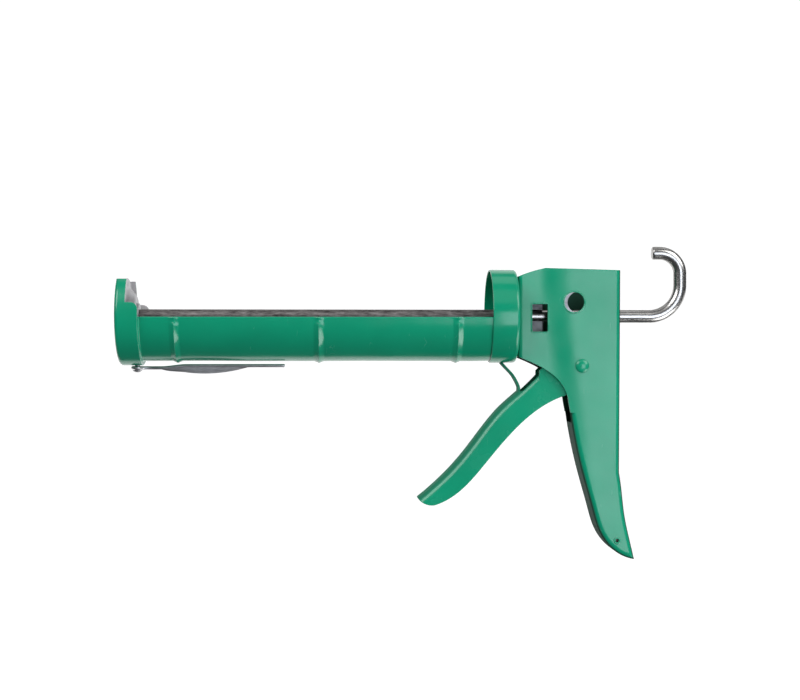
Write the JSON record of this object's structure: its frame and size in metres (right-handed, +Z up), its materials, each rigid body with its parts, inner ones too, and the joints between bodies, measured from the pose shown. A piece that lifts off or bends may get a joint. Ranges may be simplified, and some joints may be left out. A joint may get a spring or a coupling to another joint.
{
  "type": "caulking gun",
  "caption": "Half-barrel caulking gun with a ratchet push rod and hook, a sheet frame and grip, a trigger, a nozzle cutter hole and a swing-out seal piercing pin.",
  "frame": {"origin": "on the barrel axis, on the collar's inner face, where the cartridge's base seats", "axes": "+X back along the barrel to the hook, +Z up, -Y the side with the cutter hole"},
  "size_m": [0.3416, 0.0592, 0.1885],
  "materials": {
    "green_paint": "gloss",
    "zinc": "zinc plated, satin",
    "bright_rod": "bright drawn",
    "bright_wire": "bright drawn",
    "dark_steel": "oiled, hardened"
  },
  "bodies": {
    "frame": {"cartridge_cradle": "green_paint", "front_cap": "green_paint", "rear_collar": "green_paint", "frame_shell": "green_paint", "rod_guide": "zinc", "guide_rivets": "green_paint", "trigger_pivot_rivet": "green_paint", "pivot_washer": "zinc", "grip_tube_rivet": "green_paint", "piercing_pin_rivet": "zinc", "trigger_return_spring": "bright_wire"},
    "piston": {"piston_plate": "zinc"},
    "push_rod": {"push_rod": "bright_rod", "piston_front_washer": "zinc", "piston_back_washer": "zinc", "piston_nut": "zinc"},
    "trigger": {"trigger_lever": "green_paint", "cutter_plate": "dark_steel", "cutter_rivets": "dark_steel", "trigger_bush": "zinc", "pawl_pin": "dark_steel", "pawl_spring": "bright_wire"},
    "pawl": {"drive_pawl": "dark_steel"},
    "piercing_pin": {"piercing_pin": "bright_wire"}
  },
  "joints": [
    {"name": "piston_slide", "type": "slide", "parent": "frame", "child": "piston", "axis": [1, 0, 0], "range_m": [0, 0.2236]},
    {"name": "rod_turn", "type": "hinge", "parent": "piston", "child": "push_rod", "pos_m": [-0.2246, 0, 0], "axis": [1, 0, 0], "range_deg": [0, 180]},
    {"name": "trigger_squeeze", "type": "hinge", "parent": "frame", "child": "trigger", "pos_m": [0.0399, 0, -0.0299], "axis": [0, -1, 0], "range_deg": [0, 30], "stiffness_Nm_per_rad": 0.4, "springref_deg": -34.38, "deforming": ["trigger_return_spring"]},
    {"name": "pawl_swing", "type": "hinge", "parent": "trigger", "child": "pawl", "pos_m": [0.04474, 0, -0.01184], "axis": [0, -1, 0], "range_deg": [-30, 0], "deforming": ["pawl_spring"]},
    {"name": "pin_swing", "type": "hinge", "parent": "frame", "child": "piercing_pin", "pos_m": [-0.226, 0, -0.0311], "axis": [0, 0, 1], "range_deg": [0, 180]}
  ],
  "couplings": [
    {"joint": "pawl_swing", "follows": "trigger_squeeze", "ratio": -1}
  ]
}
